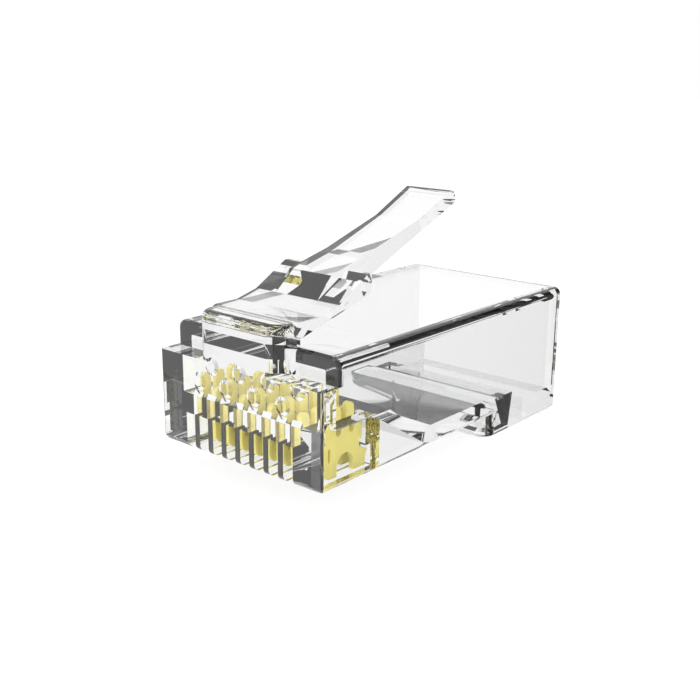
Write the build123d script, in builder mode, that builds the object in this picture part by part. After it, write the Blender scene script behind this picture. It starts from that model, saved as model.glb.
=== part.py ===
from build123d import *
import math
import os

os.makedirs("parts", exist_ok=True)

# Frame: +X across the plug, -Y towards the nose that enters the jack, +Z up on the latch side.
# The origin is the middle of the base under the cable end.

# Housing envelope
body_width = 11.68
body_length = 22.5
body_height = 8.0
nose_height = 6.65
step_from_nose = 14.6
top_edge_round = 0.45
base_edge_round = 0.3
nose_base_round = 0.4
nose_side_round = 0.15
step_corner_round = 1.0

# Lip across the nose, with the face above it set back
lip_drop = 1.41
shelf_depth = 1.22
shelf_corner_round = 0.3

# Cable cavity, open at the rear
side_wall = 1.0
roof_wall = 0.75
floor_wall = 1.4
front_floor_wall = 1.0
channel_face_from_nose = 5.78
ledge_drop = 3.8
ramp_break_run = 0.7
ramp_break_fall = 0.5
ramp_foot_from_nose = 9.4
mouth_flare = 0.35

# Two rows of conductor channels, one channel above each contact
contact_count = 8
contact_pitch = 1.02
channel_radius = 0.5
upper_channel_drop = 1.95
channel_row_spacing = 1.0
channel_end_from_nose = 1.3
channel_end_chamfer = 0.18

# Stamped contacts in their crimped place, and the slots that guide them
contact_thickness = 0.35
slot_side_clearance = 0.15
contact_end_clearance = 0.07
contact_set_back = 1.25
contact_base_gap = 0.05
bridge_drop = 4.6
contact_top_drop = 3.86
shoulder_run = 0.33
shoulder_rise = 0.3
tine_count = 3
tine_width = 0.62
tine_gap = 0.38
tine_tip_gap = 0.05
tine_root_rise = 2.11
waist_rise = 1.55
waist_depth = 0.22
waist_height = 0.4
barb_depth = 0.4
barb_height = 0.35
barb_slope = 0.3
contact_foot_round = 0.5
heel_gap_radius = 0.65
heel_gap_height = 0.47
coin_slit_width = 0.16
coin_slit_height = 0.75
coin_slit_set_back = 0.42
coin_slit_rise = 1.27

# Recess moulded in the underside behind the contacts
recess_wall = 0.25
recess_web = 0.32
recess_end_from_nose = 9.05

# Strain relief bar in its window through the floor of the cable end
window_front_from_nose = 15.93
window_length = 3.27
bar_top_length = 1.95
bar_foot_length = 0.67
bar_proud = 0.73
bar_front_gap = 0.17
bar_foot_set_back = 1.14
bar_end_gap = 0.09
bar_base_gap = 0.05
web_thickness = 0.28
web_gap = 0.05
bar_groove_width = 0.7
bar_groove_depth = 0.3
bar_groove_end = 0.55
bar_groove_round = 0.2

# Latch, hinged on the root that stands on the nose
latch_width = 6.0
root_top_rise = 1.25
root_corner_round = 0.9
root_edge_round = 0.4
hinge_from_nose = 1.55
hinge_radius = 0.42
hinge_clearance = 0.04
beam_flat_end = 3.03
latch_ramp_from_nose = 4.49
ramp_foot_rise = 1.6
catch_from_nose = 7.08
catch_rise = 2.86
catch_land = 0.3
underside_slope = 14.3
tab_top_from_nose = 5.57
tab_top_rise = 2.76
grip_from_nose = 8.56
grip_rise = 3.49
bend_from_nose = 13.02
bend_rise = 4.84
tip_from_nose = 16.34
tip_rise = 6.36
tip_thickness = 0.76
tab_knee_from_nose = 8.9
tab_knee_rise = 2.27
tab_base_width = 3.0
tab_waist_width = 2.9
tab_bend_width = 3.06
tab_tip_width = 3.32
tip_round = 0.3

# Places that follow from the sizes above
nose = -body_length / 2
rear = body_length / 2
top = body_height
nose_base = body_height - nose_height
lip_top = top - lip_drop
cavity_width = body_width - 2 * side_wall
cavity_roof = top - roof_wall
channel_face = nose + channel_face_from_nose
channel_end = nose + channel_end_from_nose
ledge = top - ledge_drop
front_floor = nose_base + front_floor_wall
window_front = nose + window_front_from_nose
window_rear = window_front + window_length
hinge_y = nose + hinge_from_nose
hinge_z = top + root_top_rise - hinge_radius
slot_width = contact_thickness + 2 * slot_side_clearance
bridge_base = top - bridge_drop
contact_front = nose + contact_set_back
contact_base = nose_base + contact_base_gap
contact_top = top - contact_top_drop
slot_front = contact_front - contact_end_clearance
first_tine = contact_front + shoulder_run
contact_rear = first_tine + tine_count * (tine_width + tine_gap) - tine_gap
waist_top = contact_base + waist_rise
waist_foot = waist_top - waist_height
barb_tip = contact_rear + barb_depth
barb_foot = barb_tip - barb_slope / 2
slot_rear = barb_tip + contact_end_clearance
recess_front = slot_rear + recess_wall

# How far cutting shapes reach past a face, and how near an edge lies to the place it is picked by
overcut = 1.0
near = 0.01


def contact_x(index):
    """Distance of one contact from the middle of the plug."""
    return (index - (contact_count - 1) / 2) * contact_pitch


def channel_z(index):
    """Height of the channel over one contact: even places use the lower row."""
    row_drop = channel_row_spacing if index % 2 == 0 else 0
    return top - upper_channel_drop - row_drop


def tine_tip_z(index):
    """Crimped tines end just under the middle of their channel, inside the conductor."""
    return channel_z(index) - tine_tip_gap


# Slab that makes the cable end deeper than the nose
with BuildPart() as cable_end:
    with BuildSketch(Plane.XY) as slab_plan:
        with BuildLine():
            Polyline(
                (-body_width / 2, rear),
                (-body_width / 2, nose + step_from_nose),
                (body_width / 2, nose + step_from_nose),
                (body_width / 2, rear),
                close=True,
            )
        make_face()
        fillet(slab_plan.vertices().group_by(Axis.Y)[0], radius=step_corner_round)
    extrude(amount=nose_base + overcut)
    slab_base = cable_end.faces().sort_by(Axis.Z)[0]
    rear_edge = slab_base.edges().sort_by(Axis.Y)[-1]
    fillet([edge for edge in slab_base.edges() if edge != rear_edge], radius=base_edge_round)

# Block on the nose that carries the latch
with BuildPart() as latch_root:
    with BuildSketch(Plane.XY.offset(lip_top)) as root_plan:
        with BuildLine():
            Polyline(
                (-latch_width / 2, hinge_y),
                (-latch_width / 2, nose),
                (latch_width / 2, nose),
                (latch_width / 2, hinge_y),
                close=True,
            )
        make_face()
        fillet(root_plan.vertices().group_by(Axis.Y)[0], radius=root_corner_round)
    extrude(amount=lip_drop + root_top_rise)
    root_top = latch_root.faces().sort_by(Axis.Z)[-1]
    root_rear_edge = root_top.edges().sort_by(Axis.Y)[-1]
    fillet([edge for edge in root_top.edges() if edge != root_rear_edge], radius=root_edge_round)

with BuildPart() as housing:
    # Body at the depth of the nose
    with BuildSketch(Plane.YZ):
        with BuildLine():
            Polyline(
                (nose, nose_base),
                (rear, nose_base),
                (rear, top),
                (nose + shelf_depth, top),
                (nose + shelf_depth, lip_top),
                (nose, lip_top),
                close=True,
            )
        make_face()
    extrude(amount=body_width / 2, both=True)
    fillet(housing.edges().filter_by(Axis.Y).group_by(Axis.Z)[-1], radius=top_edge_round)
    shelf_uprights = housing.edges().filter_by(Axis.Z).filter_by_position(
        Axis.Y, nose + shelf_depth - near, nose + shelf_depth + near
    )
    fillet(shelf_uprights, radius=shelf_corner_round)
    base_edges = housing.edges().group_by(Axis.Z)[0]
    front_base_edge = base_edges.filter_by(Axis.X).sort_by(Axis.Y)[0]
    fillet([front_base_edge] + base_edges.filter_by(Axis.Y), radius=nose_base_round)
    fillet(housing.edges().filter_by(Axis.Z).group_by(Axis.Y)[0], radius=nose_side_round)
    add(cable_end.part)
    add(latch_root.part)

    # Cable cavity, its stepped floor and the ramp up to the channels
    with BuildSketch(Plane.YZ):
        with BuildLine():
            Polyline(
                (rear + overcut, cavity_roof),
                (rear + overcut, floor_wall),
                (window_front, floor_wall),
                (window_front, front_floor),
                (nose + ramp_foot_from_nose, front_floor),
                (channel_face + ramp_break_run, ledge - ramp_break_fall),
                (channel_face, ledge),
                (channel_face, cavity_roof),
                close=True,
            )
        make_face()
    extrude(amount=cavity_width / 2, both=True, mode=Mode.SUBTRACT)

    # Conductor channels with tapered blind ends
    with BuildSketch(Plane.XZ.offset(-channel_face)):
        for index in range(contact_count):
            with Locations((contact_x(index), channel_z(index))):
                Circle(channel_radius)
    extrude(amount=channel_face_from_nose - channel_end_from_nose, mode=Mode.SUBTRACT)
    channel_ends = housing.edges().filter_by(GeomType.CIRCLE).filter_by(
        lambda edge: abs(edge.radius - channel_radius) < near and abs(edge.center().Y - channel_end) < near
    )
    chamfer(channel_ends, length=channel_end_chamfer)

    # Contact slots, open at the base and low on the nose, and up into the channels
    for index in range(contact_count):
        with BuildSketch(Plane.YZ.offset(contact_x(index))):
            with BuildLine():
                Polyline(
                    (nose - overcut, nose_base - overcut),
                    (nose - overcut, bridge_base),
                    (slot_front, bridge_base),
                    (slot_front, contact_top + contact_end_clearance),
                    (first_tine - contact_end_clearance, contact_top + shoulder_rise + contact_end_clearance),
                    (first_tine - contact_end_clearance, channel_z(index)),
                    (contact_rear + contact_end_clearance, channel_z(index)),
                    (contact_rear + contact_end_clearance, waist_foot),
                    (slot_rear, waist_foot),
                    (slot_rear, nose_base - overcut),
                    close=True,
                )
            make_face()
        extrude(amount=slot_width / 2, both=True, mode=Mode.SUBTRACT)

    # Recess in the underside, which slopes down from under the ledge to the base
    with BuildSketch(Plane.YZ):
        with BuildLine():
            Polyline(
                (recess_front, nose_base - overcut),
                (recess_front, ledge - recess_web),
                (nose + recess_end_from_nose, nose_base),
                (nose + recess_end_from_nose, nose_base - overcut),
                close=True,
            )
        make_face()
    extrude(amount=cavity_width / 2, both=True, mode=Mode.SUBTRACT)

    # Window for the strain relief bar
    with BuildSketch(Plane.XY.offset(-overcut)):
        with Locations((0, (window_front + window_rear) / 2)):
            Rectangle(cavity_width, window_length)
    extrude(amount=floor_wall + 2 * overcut, mode=Mode.SUBTRACT)

    # Seat of the latch hinge
    with BuildSketch(Plane.YZ):
        with Locations((hinge_y, hinge_z)):
            Circle(hinge_radius + hinge_clearance)
    extrude(amount=latch_width / 2, both=True, mode=Mode.SUBTRACT)

    # Flared mouth of the cable cavity
    mouth = housing.edges().filter_by_position(Axis.Y, rear - near, rear + near).filter_by(
        lambda edge: abs(edge.center().X) < cavity_width / 2 + near
        and floor_wall - near < edge.center().Z < cavity_roof + near
    )
    chamfer(mouth, length=mouth_flare)

housing.part.label = "housing"
export_step(housing.part, "parts/housing.step")

# Latch: the grip tab between two catch shoulders, on a thin beam with a round hinge edge
under_rise = math.tan(math.radians(underside_slope))
hinge_tangent_y = hinge_y + hinge_radius * math.sin(math.radians(underside_slope))
hinge_tangent_z = hinge_z - hinge_radius * math.cos(math.radians(underside_slope))
catch_rear = nose + catch_from_nose
catch_under = hinge_tangent_z + under_rise * (catch_rear - hinge_tangent_y)
ramp_under = hinge_tangent_z + under_rise * (nose + latch_ramp_from_nose - hinge_tangent_y)

with BuildPart() as latch:
    with BuildSketch(Plane.YZ):
        with BuildLine():
            Polyline(
                (nose + latch_ramp_from_nose, top + ramp_foot_rise),
                (nose + tab_top_from_nose, top + tab_top_rise),
                (nose + grip_from_nose, top + grip_rise),
                (nose + bend_from_nose, top + bend_rise),
                (nose + tip_from_nose, top + tip_rise),
                (nose + tip_from_nose + tip_thickness / 2, top + tip_rise - tip_thickness),
                (nose + tab_knee_from_nose, top + tab_knee_rise),
                (catch_rear, catch_under),
                (nose + latch_ramp_from_nose, ramp_under),
                close=True,
            )
        make_face()
    extrude(amount=tab_tip_width, both=True)
    tip_edges = latch.edges().filter_by(Axis.X).group_by(Axis.Y)[-2:]
    fillet(tip_edges[0] + tip_edges[1], radius=tip_round)
    with BuildSketch(Plane.XY.offset(top)):
        with BuildLine():
            Polyline(
                (-tab_base_width / 2, nose + latch_ramp_from_nose - overcut),
                (-tab_base_width / 2, nose + tab_top_from_nose),
                (-tab_waist_width / 2, nose + grip_from_nose),
                (-tab_bend_width / 2, nose + bend_from_nose),
                (-tab_tip_width / 2, nose + tip_from_nose + overcut),
                (tab_tip_width / 2, nose + tip_from_nose + overcut),
                (tab_bend_width / 2, nose + bend_from_nose),
                (tab_waist_width / 2, nose + grip_from_nose),
                (tab_base_width / 2, nose + tab_top_from_nose),
                (tab_base_width / 2, nose + latch_ramp_from_nose - overcut),
                close=True,
            )
        make_face()
    extrude(amount=2 * tip_rise, mode=Mode.INTERSECT)
    # Beam across the full width, with the shoulders at its rear end
    with BuildSketch(Plane.YZ):
        with BuildLine():
            Polyline(
                (hinge_y, hinge_z + hinge_radius),
                (nose + beam_flat_end, hinge_z + hinge_radius),
                (nose + latch_ramp_from_nose, top + ramp_foot_rise),
                (catch_rear - catch_land, top + catch_rise),
                (catch_rear, top + catch_rise),
                (catch_rear, catch_under),
                (hinge_tangent_y, hinge_tangent_z),
                (hinge_y, hinge_z),
                close=True,
            )
        make_face()
    extrude(amount=latch_width / 2, both=True)
    with BuildSketch(Plane.YZ):
        with Locations((hinge_y, hinge_z)):
            Circle(hinge_radius)
    extrude(amount=latch_width / 2, both=True)

latch.part.label = "latch"
export_step(latch.part, "parts/latch.step")

# Strain relief bar: a wedge with a groove along its top and a thin web at its foot
bar_top = floor_wall + bar_proud
bar_front = window_front + bar_front_gap
bar_foot_front = window_front + bar_foot_set_back
bar_half = cavity_width / 2 - bar_end_gap
with BuildPart() as strain_relief_bar:
    with BuildSketch(Plane.YZ):
        with BuildLine():
            Polyline(
                (bar_foot_front, bar_base_gap),
                (bar_foot_front + bar_foot_length, bar_base_gap),
                (bar_front + bar_top_length, bar_top),
                (bar_front, bar_top),
                close=True,
            )
        make_face()
    extrude(amount=bar_half, both=True)
    with BuildSketch(Plane.YZ):
        with BuildLine():
            Polyline(
                (window_front + web_gap, bar_base_gap),
                (bar_foot_front + web_thickness, bar_base_gap),
                (bar_foot_front + web_thickness, bar_base_gap + web_thickness),
                (window_front + web_gap, bar_base_gap + web_thickness),
                close=True,
            )
        make_face()
    extrude(amount=bar_half, both=True)
    with BuildSketch(Plane.XY.offset(bar_top)):
        with Locations((0, bar_front + bar_top_length / 2)):
            RectangleRounded(2 * (bar_half - bar_groove_end), bar_groove_width, bar_groove_round)
    extrude(amount=-bar_groove_depth, mode=Mode.SUBTRACT)

strain_relief_bar.part.label = "strain_relief_bar"
export_step(strain_relief_bar.part, "parts/strain_relief_bar.step")

# Contacts: flat blades with round-ended tines above and two feet below
tine_step = tine_width + tine_gap
heel_gap_y = (first_tine + contact_rear) / 2
root_centre_z = contact_base + tine_root_rise + tine_gap / 2
for index in range(contact_count):
    tine_shoulder = tine_tip_z(index) - tine_width / 2
    with BuildPart() as contact:
        with BuildSketch(Plane.YZ.offset(contact_x(index))) as blade:
            with BuildLine():
                Polyline(
                    (contact_front, contact_base),
                    (contact_front, contact_top),
                    (first_tine, contact_top + shoulder_rise),
                    (first_tine, tine_shoulder),
                    (contact_rear, tine_shoulder),
                    (contact_rear, waist_top),
                    (contact_rear - waist_depth, waist_top),
                    (contact_rear - waist_depth, waist_foot),
                    (barb_tip, waist_foot - barb_slope),
                    (barb_foot, waist_foot - barb_slope - barb_height),
                    (barb_foot, contact_base),
                    close=True,
                )
            make_face()
            fillet(
                blade.vertices().group_by(Axis.Y)[0].sort_by(Axis.Z)[0],
                radius=contact_foot_round,
            )
            # Round ends of the tines, and gaps with round roots between them
            for tine in range(tine_count):
                with Locations((first_tine + tine_width / 2 + tine * tine_step, tine_shoulder)):
                    Circle(tine_width / 2)
            for gap in range(tine_count - 1):
                gap_y = first_tine + tine_width + tine_gap / 2 + gap * tine_step
                with Locations((gap_y, root_centre_z)):
                    Circle(tine_gap / 2, mode=Mode.SUBTRACT)
                with Locations((gap_y, (root_centre_z + tine_shoulder) / 2)):
                    Rectangle(tine_gap, tine_shoulder - root_centre_z, mode=Mode.SUBTRACT)
            # Arched gap between the feet, and the coined slit near the front edge
            with Locations((heel_gap_y, contact_base + heel_gap_height)):
                Circle(heel_gap_radius, mode=Mode.SUBTRACT)
            with Locations((heel_gap_y, contact_base + heel_gap_height / 2)):
                Rectangle(2 * heel_gap_radius, heel_gap_height, mode=Mode.SUBTRACT)
            with Locations((contact_front + coin_slit_set_back, contact_base + coin_slit_rise)):
                SlotOverall(coin_slit_height, coin_slit_width, rotation=90, mode=Mode.SUBTRACT)
        extrude(amount=contact_thickness / 2, both=True)

    node_name = f"contact_{index + 1}"
    contact.part.label = node_name
    export_step(contact.part, f"parts/{node_name}.step")
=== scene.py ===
"""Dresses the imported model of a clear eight-way modular plug, and sets up its white studio."""

import logging
import math
from dataclasses import dataclass, field
from enum import Enum

import bmesh
import bpy
import numpy as np
from mathutils import Matrix


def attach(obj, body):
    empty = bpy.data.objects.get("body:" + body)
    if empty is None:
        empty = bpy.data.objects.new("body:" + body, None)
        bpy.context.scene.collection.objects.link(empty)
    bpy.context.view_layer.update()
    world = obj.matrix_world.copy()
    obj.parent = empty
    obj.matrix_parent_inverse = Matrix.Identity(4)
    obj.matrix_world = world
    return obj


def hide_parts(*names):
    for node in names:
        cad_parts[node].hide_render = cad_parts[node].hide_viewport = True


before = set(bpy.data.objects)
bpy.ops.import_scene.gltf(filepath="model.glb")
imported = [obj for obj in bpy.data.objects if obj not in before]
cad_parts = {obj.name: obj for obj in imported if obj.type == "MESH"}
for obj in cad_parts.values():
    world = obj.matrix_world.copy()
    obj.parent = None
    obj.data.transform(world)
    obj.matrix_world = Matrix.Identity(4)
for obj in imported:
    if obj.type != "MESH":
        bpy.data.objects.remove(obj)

log = logging.getLogger("plug")
MILLIMETRE = 0.001
SHARP_ANGLE = math.radians(32)
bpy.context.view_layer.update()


class Axis(Enum):
    """The way in which a finish's drawing marks or flow lines run, as stretches of its noise."""

    ALONG = (1.0, 0.12, 1.0)
    UP = (1.0, 1.0, 0.12)
    NONE = (1.0, 1.0, 1.0)


@dataclass
class Nodes:
    """A short way to build one node tree."""

    tree: bpy.types.NodeTree

    def add(self, kind: str, **settings: object) -> bpy.types.Node:
        """Adds one node.

        Args:
            kind: the node's Blender type, without its "ShaderNode" start.
            settings: properties of the node and their values.

        Returns:
            The new node.
        """
        node = self.tree.nodes.new("ShaderNode" + kind)
        for name, value in settings.items():
            setattr(node, name, value)
        return node

    def join(self, source: bpy.types.NodeSocket, node: bpy.types.Node, socket: str | int) -> None:
        """Links a socket to an input of a node."""
        self.tree.links.new(source, node.inputs[socket])

    def math(
        self,
        operation: str,
        first: bpy.types.NodeSocket,
        second: bpy.types.NodeSocket | float,
    ) -> bpy.types.NodeSocket:
        """Works out one sum of two values.

        Args:
            operation: the Math node's operation.
            first: the first value, from another node.
            second: the second value, a number or a socket.

        Returns:
            The socket that carries the result.
        """
        node = self.add("Math", operation=operation)
        self.join(first, node, 0)
        if isinstance(second, float):
            node.inputs[1].default_value = second
        else:
            self.join(second, node, 1)
        return node.outputs[0]

    def between(
        self,
        value: bpy.types.NodeSocket,
        start: float,
        end: float,
        low: float = 0.0,
        high: float = 1.0,
    ) -> bpy.types.NodeSocket:
        """Eases a value from low to high while it goes from start to end.

        Args:
            value: the value that is followed.
            start: where the result is still low.
            end: where the result has become high.
            low: the result before start.
            high: the result after end.

        Returns:
            The socket that carries the result.
        """
        node = self.add("MapRange", interpolation_type="SMOOTHSTEP")
        self.join(value, node, "Value")
        node.inputs["From Min"].default_value = start
        node.inputs["From Max"].default_value = end
        node.inputs["To Min"].default_value = low
        node.inputs["To Max"].default_value = high
        return node.outputs["Result"]

    def noise(self, axis: Axis, scale: float, detail: float) -> bpy.types.NodeSocket:
        """Solid noise on the object's own coordinates.

        Args:
            axis: the way in which the noise is drawn out.
            scale: the noise's scale, in cells per metre.
            detail: how many finer layers it has.

        Returns:
            The socket that carries the noise, from 0 to 1.
        """
        place = self.add("TexCoord")
        mapping = self.add("Mapping")
        mapping.inputs["Scale"].default_value = axis.value
        noise = self.add("TexNoise")
        noise.inputs["Scale"].default_value = scale
        noise.inputs["Detail"].default_value = detail
        self.join(place.outputs["Object"], mapping, "Vector")
        self.join(mapping.outputs["Vector"], noise, "Vector")
        return noise.outputs["Fac"]

    def blend(
        self,
        amount: bpy.types.NodeSocket,
        first: tuple[float, float, float],
        second: tuple[float, float, float],
    ) -> bpy.types.NodeSocket:
        """Mixes two colours.

        Args:
            amount: 0 for the first colour, and 1 for the second.
            first: the first colour, linear.
            second: the second colour, linear.

        Returns:
            The socket that carries the mixed colour.
        """
        node = self.add("Mix", data_type="RGBA")
        self.join(amount, node, "Factor")
        node.inputs[6].default_value = (*first, 1.0)
        node.inputs[7].default_value = (*second, 1.0)
        return node.outputs[2]


@dataclass(frozen=True)
class ClearPlastic:
    """Polished, injection moulded polycarbonate."""

    name: str
    refraction: float = 1.586
    clear: tuple[float, float, float] = (1.0, 1.0, 1.0)
    drawn: tuple[float, float, float] = (0.985, 0.992, 0.99)
    flow: Axis = Axis.ALONG
    flow_scale: float = 260.0
    polish_scale: float = 4.0
    haze_start: float = 0.5
    haze_end: float = 0.9
    haze: float = 0.012
    ripple: float = 0.02
    ripple_height: float = 0.02

    def material(self) -> bpy.types.Material:
        """Faint flow lines bend the surface and its tint, and the polish varies a little.

        Returns:
            The finished material.
        """
        material = bpy.data.materials.new(self.name)
        material.use_nodes = True
        nodes = Nodes(material.node_tree)
        shader = material.node_tree.nodes["Principled BSDF"]
        shader.inputs["IOR"].default_value = self.refraction
        shader.inputs["Transmission Weight"].default_value = 1.0
        flow = nodes.noise(self.flow, self.flow_scale, detail=2.0)
        nodes.join(nodes.blend(flow, self.clear, self.drawn), shader, "Base Color")
        polish = nodes.noise(Axis.NONE, self.flow_scale * self.polish_scale, detail=3.0)
        roughness = nodes.between(polish, self.haze_start, self.haze_end, high=self.haze)
        nodes.join(roughness, shader, "Roughness")
        bump = nodes.add("Bump")
        bump.inputs["Strength"].default_value = self.ripple
        bump.inputs["Distance"].default_value = self.ripple_height * MILLIMETRE
        nodes.join(flow, bump, "Height")
        nodes.join(bump.outputs["Normal"], shader, "Normal")
        return material


@dataclass(frozen=True)
class GoldPlate:
    """Thin gold over nickel on a stamped contact, with the marks of the rolled strip."""

    name: str
    bright: tuple[float, float, float] = (0.92, 0.82, 0.25)
    dull: tuple[float, float, float] = (0.86, 0.77, 0.27)
    strip: Axis = Axis.UP
    metal: float = 0.1
    tarnish_scale: float = 900.0
    tarnish_start: float = 0.45
    tarnish_end: float = 0.75
    mark_scale: float = 5200.0
    mark_start: float = 0.3
    mark_end: float = 0.8
    mark_depth: float = 0.02
    mark_height: float = 0.004
    smooth: float = 0.36
    rough: float = 0.42

    def material(self) -> bpy.types.Material:
        """Fine rolling marks along the strip, with slow patches of duller plate.

        Returns:
            The finished material.
        """
        material = bpy.data.materials.new(self.name)
        material.use_nodes = True
        nodes = Nodes(material.node_tree)
        shader = material.node_tree.nodes["Principled BSDF"]
        shader.inputs["Metallic"].default_value = self.metal
        marks = nodes.noise(self.strip, self.mark_scale, detail=3.0)
        patches = nodes.noise(Axis.NONE, self.tarnish_scale, detail=2.0)
        worn = nodes.between(patches, self.tarnish_start, self.tarnish_end)
        nodes.join(nodes.blend(worn, self.bright, self.dull), shader, "Base Color")
        roughness = nodes.between(marks, self.mark_start, self.mark_end, self.smooth, self.rough)
        nodes.join(roughness, shader, "Roughness")
        bump = nodes.add("Bump")
        bump.inputs["Strength"].default_value = self.mark_depth
        bump.inputs["Distance"].default_value = self.mark_height * MILLIMETRE
        nodes.join(marks, bump, "Height")
        nodes.join(bump.outputs["Normal"], shader, "Normal")
        return material


@dataclass(frozen=True)
class PaleFloor:
    """White paper under the plug. It keeps a soft shadow, and clear parts look past it."""

    name: str
    paper: tuple[float, float, float] = (0.9, 0.9, 0.9)
    grain: tuple[float, float, float] = (0.86, 0.86, 0.86)
    grain_scale: float = 90.0
    roughness: float = 0.9
    shadow_share: float = 0.12

    def material(self) -> bpy.types.Material:
        """Mostly white for the camera, and shaded paper for all other light.

        Returns:
            The finished material.
        """
        material = bpy.data.materials.new(self.name)
        material.use_nodes = True
        nodes = Nodes(material.node_tree)
        paper = material.node_tree.nodes["Principled BSDF"]
        paper.inputs["Roughness"].default_value = self.roughness
        paper.inputs["Specular IOR Level"].default_value = 0.0
        grain = nodes.noise(Axis.NONE, self.grain_scale, detail=4.0)
        nodes.join(nodes.blend(grain, self.paper, self.grain), paper, "Base Color")
        glow = nodes.add("Emission")
        glow.inputs["Color"].default_value = (1.0, 1.0, 1.0, 1.0)
        glow.inputs["Strength"].default_value = 1.0
        ray = nodes.add("LightPath")
        white = nodes.add("MixShader")
        share = nodes.math("MULTIPLY", ray.outputs["Is Camera Ray"], 1.0 - self.shadow_share)
        nodes.join(share, white, "Fac")
        nodes.join(paper.outputs["BSDF"], white, 1)
        nodes.join(glow.outputs["Emission"], white, 2)
        past = nodes.add("MixShader")
        glossy, clear = ray.outputs["Is Glossy Ray"], ray.outputs["Is Transmission Ray"]
        nodes.join(nodes.math("MAXIMUM", glossy, clear), past, "Fac")
        nodes.join(white.outputs["Shader"], past, 1)
        nodes.join(nodes.add("BsdfTransparent").outputs["BSDF"], past, 2)
        nodes.join(past.outputs["Shader"], material.node_tree.nodes["Material Output"], "Surface")
        return material


def arc(
    centre: tuple[float, float], radius: float, start: float, end: float, count: int
) -> np.ndarray:
    """Points on an arc: centre plus radius times the cosine and sine of evenly spaced angles.

    Args:
        centre: the circle's centre.
        radius: its radius.
        start: the first angle, in degrees.
        end: the last angle, in degrees.
        count: the number of points.

    Returns:
        An array of count rows of two.
    """
    angle = np.radians(np.linspace(start, end, count))
    return np.array(centre) + radius * np.column_stack((np.cos(angle), np.sin(angle)))


def outward(loop: np.ndarray) -> np.ndarray:
    """Mitred normals of a closed loop: the sum of the two side normals over one plus their product.

    Args:
        loop: the loop's points, with its solid on the right of travel.

    Returns:
        One normal for each point, long enough to move both sides by one.
    """
    ahead = np.roll(loop, -1, axis=0) - loop
    ahead /= np.linalg.norm(ahead, axis=1, keepdims=True)
    normal = np.column_stack((-ahead[:, 1], ahead[:, 0]))
    before = np.roll(normal, 1, axis=0)
    product = np.sum(normal * before, axis=1, keepdims=True)
    return (normal + before) / np.maximum(1.0 + product, 0.5)


def rolled_rim(
    loop: np.ndarray, middle: float, thickness: float, roll: float, steps: int
) -> np.ndarray:
    """A plate's rim with rounded edges, from place along the loop and turn over the edge.

    Over each edge the rim follows a quarter circle: it stands in from the loop by roll times one
    minus the turn's sine, and stands out from the mid plane by half the thickness less roll times
    one minus the turn's cosine.

    Args:
        loop: the plate's outline in y and z.
        middle: the mid plane's x.
        thickness: the plate's thickness.
        roll: the radius of the edges.
        steps: the rows over each edge.

    Returns:
        An array of 2 * steps rows, each with the loop's points in x, y and z.
    """
    turn = np.linspace(0.0, math.pi / 2, steps)
    inset = roll * (1.0 - np.sin(turn))
    stand = thickness / 2 - roll * (1.0 - np.cos(turn))
    inset = np.concatenate((inset, inset[::-1]))[:, None, None]
    stand = np.concatenate((stand, -stand[::-1]))[:, None]
    rows = loop[None] - outward(loop)[None] * inset
    across = np.broadcast_to(middle + stand, rows.shape[:2])
    return np.concatenate((across[..., None], rows), axis=2)


def strip_faces(rows: int, columns: int, first: int) -> np.ndarray:
    """Quads between neighbouring rows of a grid that closes on itself along its columns.

    Args:
        rows: the grid's rows.
        columns: its points in a row.
        first: the index of its first point.

    Returns:
        An array with four point indices for each quad.
    """
    row, column = np.meshgrid(np.arange(rows - 1), np.arange(columns), indexing="ij")
    beside = (column + 1) % columns
    this, following = row * columns, (row + 1) * columns
    corners = (this + column, this + beside, following + beside, following + column)
    return first + np.stack(corners, axis=-1).reshape(-1, 4)


def mesh_object(
    name: str, points: np.ndarray, faces: list[list[int]], material: bpy.types.Material
) -> bpy.types.Object:
    """Puts points, given in millimetres, and faces into a new object at the origin.

    Args:
        name: the object's name.
        points: one row for each point.
        faces: the point indices of each face.
        material: the finish of every face.

    Returns:
        The new object, linked to the scene.
    """
    mesh = bpy.data.meshes.new(name)
    mesh.from_pydata((points * MILLIMETRE).tolist(), [], faces)
    mesh.materials.append(material)
    mesh.shade_smooth()
    mesh.set_sharp_from_angle(angle=SHARP_ANGLE)
    mesh.validate()
    made = bpy.data.objects.new(name, mesh)
    bpy.context.scene.collection.objects.link(made)
    return made


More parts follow.
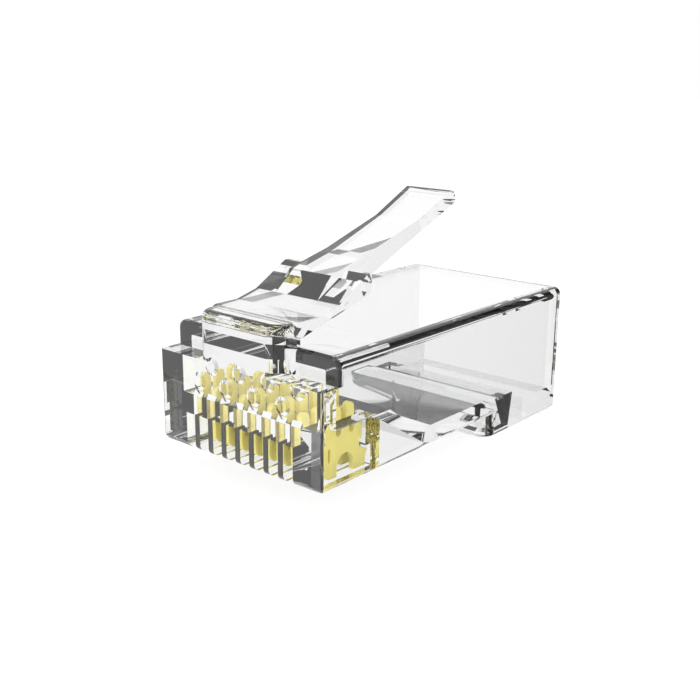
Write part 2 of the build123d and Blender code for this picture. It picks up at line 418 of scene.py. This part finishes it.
@dataclass
class StampedContacts:
    """The eight gold plated blades, with the rolled edges of stamping. Sizes in millimetres."""

    nose: float = -11.25
    top: float = 8.0
    nose_base: float = 1.35
    count: int = 8
    pitch: float = 1.02
    thickness: float = 0.35
    edge_roll: float = 0.035
    roll_steps: int = 4
    set_back: float = 1.25
    base_gap: float = 0.05
    top_drop: float = 3.86
    shoulder_run: float = 0.33
    shoulder_rise: float = 0.3
    tine_count: int = 3
    tine_width: float = 0.62
    tine_gap: float = 0.38
    tine_root_rise: float = 2.11
    tall_drop: float = 2.55
    short_drop: float = 3.15
    waist_rise: float = 1.55
    waist_depth: float = 0.22
    waist_height: float = 0.4
    barb_depth: float = 0.4
    barb_height: float = 0.35
    barb_slope: float = 0.3
    foot_round: float = 0.5
    heel_gap_radius: float = 0.65
    heel_gap_height: float = 0.47
    slit_width: float = 0.16
    slit_height: float = 0.75
    slit_set_back: float = 0.42
    slit_rise: float = 1.27
    plate: GoldPlate = field(default_factory=lambda: GoldPlate("gold_plate"))

    def __post_init__(self) -> None:
        """Works out the places that all eight blades share."""
        self.front = self.nose + self.set_back
        self.base = self.nose_base + self.base_gap
        self.first_tine = self.front + self.shoulder_run
        self.tine_step = self.tine_width + self.tine_gap
        self.rear = self.first_tine + self.tine_count * self.tine_step - self.tine_gap
        self.slit_place = self.front + self.slit_set_back

    def tine_tip(self, index: int) -> float:
        """Height of a contact's tines: the first one and every second after it are tall."""
        return self.top - (self.tall_drop if index % 2 == 0 else self.short_drop)

    def comb(self, index: int) -> tuple[list[np.ndarray], int]:
        """The round ends of the tines and the round roots between them, from front to rear.

        Args:
            index: the contact's place, from 0.

        Returns:
            The comb's arcs in order, and the number of points up to the one above the coined slit.
        """
        radius = self.tine_width / 2
        end = self.tine_tip(index) - radius
        root = self.base + self.tine_root_rise + self.tine_gap / 2
        first = self.first_tine + radius
        above_slit = math.degrees(math.acos((self.slit_place - first) / radius))
        parts = [arc((first, end), radius, 180, above_slit, 5)]
        parts.append(arc((first, end), radius, above_slit, 0, 10)[1:])
        for tine in range(1, self.tine_count):
            middle = first + tine * self.tine_step
            parts.append(arc((middle - self.tine_step / 2, root), self.tine_gap / 2, 180, 360, 11))
            parts.append(arc((middle, end), radius, 180, 0, 13))
        return parts, len(parts[0])

    def outline(self, index: int) -> tuple[np.ndarray, int]:
        """The blade's outline, from below the coined slit forward, over the tines and back.

        Args:
            index: the contact's place, from 0.

        Returns:
            The outline's points in y and z, and the index of the one above the slit.
        """
        foot = (self.front + self.foot_round, self.base + self.foot_round)
        below_slit = 360 - math.degrees(math.acos((self.slit_place - foot[0]) / self.foot_round))
        shoulder = self.top - self.top_drop
        comb, comb_start = self.comb(index)
        front = [
            arc(foot, self.foot_round, below_slit, 180, 9),
            [(self.front, shoulder), (self.first_tine, shoulder + self.shoulder_rise)],
        ]
        above_slit = sum(len(part) for part in front) + comb_start - 1
        waist = self.base + self.waist_rise
        step = waist - self.waist_height
        barb = self.rear + self.barb_depth
        heel = (self.first_tine + self.rear) / 2
        back = [
            [(self.rear, waist)],
            [(self.rear - self.waist_depth, waist), (self.rear - self.waist_depth, step)],
            [(barb, step - self.barb_slope)],
            [(barb - self.barb_slope / 2, step - self.barb_height - self.barb_slope)],
            [(barb - self.barb_slope / 2, self.base), (heel + self.heel_gap_radius, self.base)],
            arc((heel, self.base + self.heel_gap_height), self.heel_gap_radius, 0, 180, 21),
            [(heel - self.heel_gap_radius, self.base)],
            arc(foot, self.foot_round, 270, below_slit, 3)[:-1],
        ]
        parts = front + comb + back
        return np.concatenate([np.array(part, float) for part in parts]), above_slit

    def slit(self) -> np.ndarray:
        """The coined slit's outline: two half circles, from its top by the front side and back."""
        height = self.base + self.slit_rise
        half = (self.slit_height - self.slit_width) / 2
        radius = self.slit_width / 2
        upper_front = arc((self.slit_place, height + half), radius, 90, 180, 4)
        lower = arc((self.slit_place, height - half), radius, 180, 360, 7)
        upper_rear = arc((self.slit_place, height + half), radius, 0, 90, 4)[:-1]
        return np.concatenate((upper_front, lower, upper_rear))

    def blade(self, index: int) -> bpy.types.Object:
        """Builds one contact: its rim, the slit's rim, and two flat faces on each side.

        Args:
            index: the contact's place, from 0.

        Returns:
            The contact, which stands for its solid and rides on its body.
        """
        loop, above = self.outline(index)
        slit = self.slit()
        x = (index - (self.count - 1) / 2) * self.pitch
        rim = rolled_rim(loop, x, self.thickness, self.edge_roll, self.roll_steps)
        slit_rim = rolled_rim(slit, x, self.thickness, self.edge_roll, self.roll_steps)
        rows, start = 2 * self.roll_steps, rim.shape[0] * rim.shape[1]
        faces = strip_faces(rows, len(loop), 0).tolist()
        faces += strip_faces(rows, len(slit), start).tolist()
        foot = len(slit) // 2 - 1
        for row, way in ((0, -1), (rows - 1, 1)):
            outer, inner = row * len(loop), start + row * len(slit)
            front = [outer + i for i in range(above + 1)] + [inner + i for i in range(foot + 1)]
            back = [outer + i % len(loop) for i in range(above, len(loop) + 1)]
            back += [inner + i % len(slit) for i in range(foot, len(slit) + 1)]
            faces += [front[::way], back[::way]]
        points = np.concatenate((rim.reshape(-1, 3), slit_rim.reshape(-1, 3)))
        name = f"contact_{index + 1}"
        made = mesh_object(f"{name}_blade", points, faces, self.plate.material())
        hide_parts(name)
        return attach(made, name)

    def build(self) -> None:
        """Builds all the contacts."""
        for index in range(self.count):
            log.info("built %s", self.blade(index).name)


@dataclass
class ConductorChamber:
    """The open chamber over the contacts, where the tines stand free. Sizes in millimetres.

    The core reaches a little past the chamber's floor, roof and sides, so that none of its faces
    lies in one of the solid's.
    """

    half_width: float = 4.84
    front: float = -9.75
    rear: float = -5.3
    floor: float = 4.2
    roof: float = 7.25
    corner: float = 0.1
    corner_points: int = 5
    reach: float = 0.004
    weld: float = 0.0005

    def core(self, material: bpy.types.Material) -> bpy.types.Object:
        """The block that forms the chamber: a section of four quarter circles, carried along y.

        Args:
            material: the finish of the walls that it leaves.

        Returns:
            The block, which only cuts and is never seen.
        """
        wide = self.half_width + self.reach - self.corner
        high = self.roof + self.reach - self.corner
        low = self.floor - self.reach + self.corner
        middles = ((wide, high), (-wide, high), (-wide, low), (wide, low))
        section = [
            arc(middle, self.corner, 90 * turn, 90 * turn + 90, self.corner_points)
            for turn, middle in enumerate(middles)
        ]
        x, z = np.concatenate(section).T
        count = len(x)
        ends = [np.column_stack((x, np.full(count, y), z)) for y in (self.front, self.rear)]
        sides = strip_faces(2, count, 0)[:, ::-1].tolist()
        caps = [list(range(count)), list(range(count, 2 * count))[::-1]]
        return mesh_object("chamber_core", np.concatenate(ends), sides + caps, material)

    def cut(self, name: str) -> bpy.types.Object:
        """Cuts the chamber out of a welded copy of a solid.

        Args:
            name: the solid's node.

        Returns:
            The cut copy, with normals that follow its flat faces.
        """
        made = bpy.data.objects.new(f"{name}_moulding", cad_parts[name].data.copy())
        bpy.context.scene.collection.objects.link(made)
        welded = bmesh.new()
        welded.from_mesh(made.data)
        bmesh.ops.remove_doubles(welded, verts=welded.verts, dist=self.weld * MILLIMETRE)
        welded.to_mesh(made.data)
        welded.free()
        if made.data.has_custom_normals:
            made.data.attributes.remove(made.data.attributes["custom_normal"])
        core = self.core(made.data.materials[0])
        difference = made.modifiers.new("chamber", "BOOLEAN")
        difference.operation = "DIFFERENCE"
        difference.solver = "EXACT"
        difference.object = core
        self.settle(made)
        bpy.data.objects.remove(core)
        made.data.shade_smooth()
        made.data.set_sharp_from_angle(angle=SHARP_ANGLE)
        weighted = made.modifiers.new("flat_faces", "WEIGHTED_NORMAL")
        weighted.keep_sharp = True
        weighted.weight = 100
        self.settle(made)
        return made

    def settle(self, made: bpy.types.Object) -> None:
        """Turns an object's modifiers into its own mesh."""
        seen = bpy.context.evaluated_depsgraph_get()
        settled = bpy.data.meshes.new_from_object(made.evaluated_get(seen), depsgraph=seen)
        made.modifiers.clear()
        made.data = settled


@dataclass
class ClearMouldings:
    """The housing, the latch and the strain relief bar."""

    housing: ClearPlastic = ClearPlastic("housing_plastic", flow=Axis.ALONG)
    latch: ClearPlastic = ClearPlastic("latch_plastic", flow=Axis.ALONG, flow_scale=340.0)
    bar: ClearPlastic = ClearPlastic("bar_plastic", flow=Axis.UP, flow_scale=300.0)

    def dress(self) -> None:
        """Opens the housing's chamber, and gives each moulding its finish."""
        opened = ConductorChamber().cut("housing")
        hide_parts("housing")
        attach(opened, "housing")
        latch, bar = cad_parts["latch"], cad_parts["strain_relief_bar"]
        for piece, finish in ((opened, self.housing), (latch, self.latch), (bar, self.bar)):
            piece.data.materials.clear()
            piece.data.materials.append(finish.material())
            log.info("dressed %s", piece.name)


@dataclass
class Studio:
    """A white tent with one grey side, a paper floor and an overhead softbox.

    Angles are in degrees, the lamp's sizes in metres and the floor's in millimetres.
    """

    white: tuple[float, float, float] = (1.0, 1.0, 1.0)
    grey: tuple[float, float, float] = (0.054, 0.054, 0.054)
    grey_side: float = 50.0
    grey_half_width: float = 44.0
    grey_edge: float = 6.0
    deep_hits: float = 8.5
    solid_light: float = 2.1
    floor_radius: float = 600.0
    floor_rings: int = 6
    floor_spokes: int = 96
    floor_drop: float = 0.02
    lamp_height: float = 0.3
    lamp_size: float = 0.3
    lamp_power: float = 0.25
    bounces: int = 24

    def tent(self) -> None:
        """White all round, with a grey side that only mirrored light meets.

        Light that a solid part has scattered meets no grey, and a stronger white.
        """
        world = bpy.data.worlds.new("white_tent")
        world.use_nodes = True
        bpy.context.scene.world = world
        nodes = Nodes(world.node_tree)
        way = nodes.add("TexCoord").outputs["Generated"]
        level = nodes.add("VectorMath", operation="MULTIPLY")
        level.inputs[1].default_value = (1.0, 1.0, 0.0)
        nodes.join(way, level, 0)
        unit = nodes.add("VectorMath", operation="NORMALIZE")
        nodes.join(level.outputs["Vector"], unit, 0)
        facing = nodes.add("VectorMath", operation="DOT_PRODUCT")
        side = math.radians(self.grey_side)
        facing.inputs[1].default_value = (math.sin(side), math.cos(side), 0.0)
        nodes.join(unit.outputs["Vector"], facing, 0)
        outer = math.cos(math.radians(self.grey_half_width + self.grey_edge))
        inner = math.cos(math.radians(self.grey_half_width - self.grey_edge))
        card = nodes.between(facing.outputs["Value"], outer, inner)
        ray = nodes.add("LightPath")
        mirrored = nodes.math("GREATER_THAN", ray.outputs["Glossy Depth"], 0.5)
        deep = nodes.math("GREATER_THAN", ray.outputs["Ray Depth"], self.deep_hits)
        unscattered = nodes.math("LESS_THAN", ray.outputs["Diffuse Depth"], 0.5)
        dark = nodes.math("MAXIMUM", nodes.math("MULTIPLY", card, mirrored), deep)
        shade = nodes.math("MULTIPLY", dark, unscattered)
        background = world.node_tree.nodes["Background"]
        nodes.join(nodes.blend(shade, self.white, self.grey), background, "Color")
        scattered = ray.outputs["Diffuse Depth"]
        strength = nodes.between(scattered, 0.0, 1.0, low=1.0, high=self.solid_light)
        nodes.join(strength, background, "Strength")

    def floor(self) -> None:
        """A round sheet: its points are a radius and an angle, on rings that widen evenly."""
        rings, spokes = self.floor_rings, self.floor_spokes
        radius = np.linspace(0.0, self.floor_radius, rings + 1)[1:, None]
        angle = np.linspace(0.0, 2 * math.pi, spokes, endpoint=False)[None]
        flat = np.stack((radius * np.cos(angle), radius * np.sin(angle)), axis=-1).reshape(-1, 2)
        points = np.column_stack((flat, np.full(len(flat), -self.floor_drop)))
        middle = len(points)
        points = np.vstack((points, (0.0, 0.0, -self.floor_drop)))
        spoke = np.arange(spokes)
        hub = np.column_stack((np.full(spokes, middle), spoke, (spoke + 1) % spokes)).tolist()
        faces = strip_faces(rings, spokes, 0)[:, ::-1].tolist() + hub
        mesh_object("paper_floor", points, faces, PaleFloor("floor_paper").material())

    def lamp(self) -> None:
        """One large, weak softbox over the plug, for soft shading of solid parts."""
        light = bpy.data.lights.new("overhead_softbox", "AREA")
        light.size = self.lamp_size
        light.energy = self.lamp_power
        lamp = bpy.data.objects.new("overhead_softbox", light)
        lamp.location = (0.0, 0.0, self.lamp_height)
        lamp.visible_glossy = False
        lamp.visible_transmission = False
        bpy.context.scene.collection.objects.link(lamp)

    def build(self) -> None:
        """Sets up the light, the floor and the depth to which clear parts are followed."""
        scene = bpy.context.scene
        scene.view_settings.view_transform = "Standard"
        scene.cycles.max_bounces = self.bounces
        scene.cycles.transmission_bounces = self.bounces
        scene.cycles.glossy_bounces = self.bounces
        self.tent()
        self.floor()
        self.lamp()
        log.info("built the studio")


@dataclass
class ProductCamera:
    """The camera of the product picture. Sizes in millimetres and degrees, focus in pixels."""

    place: tuple[float, float, float] = (35.472, -44.55, 21.626)
    azimuth: float = 40.028
    elevation: float = 16.114
    roll: float = 0.543
    focus: float = 1004.729
    picture_width: float = 700.0
    sensor: float = 36.0
    near: float = 1.0
    far: float = 10000.0

    def build(self) -> None:
        """Places the camera by its bearing round the plug, its elevation and its roll."""
        turn, climb, lean = (math.radians(a) for a in (self.azimuth, self.elevation, self.roll))
        level = math.cos(climb)
        back = np.array((math.sin(turn) * level, -math.cos(turn) * level, math.sin(climb)))
        right = np.array((math.cos(turn), math.sin(turn), 0.0))
        up = np.cross(back, right)
        leant_right = right * math.cos(lean) + up * math.sin(lean)
        leant_up = up * math.cos(lean) - right * math.sin(lean)
        data = bpy.data.cameras.new("product_camera")
        data.sensor_width = self.sensor
        data.lens = self.focus * self.sensor / self.picture_width
        data.clip_start = self.near * MILLIMETRE
        data.clip_end = self.far * MILLIMETRE
        camera = bpy.data.objects.new("product_camera", data)
        pose = Matrix(np.column_stack((leant_right, leant_up, back)).tolist()).to_4x4()
        pose.translation = np.array(self.place) * MILLIMETRE
        camera.matrix_world = pose
        bpy.context.scene.collection.objects.link(camera)
        bpy.context.scene.camera = camera
        log.info("placed the camera")


def main() -> None:
    """Builds the camera, the plug and the studio in order."""
    logging.basicConfig(level=logging.INFO, format="%(name)s: %(message)s")
    ProductCamera().build()
    ClearMouldings().dress()
    StampedContacts().build()
    Studio().build()


if __name__ == "__main__":
    main()
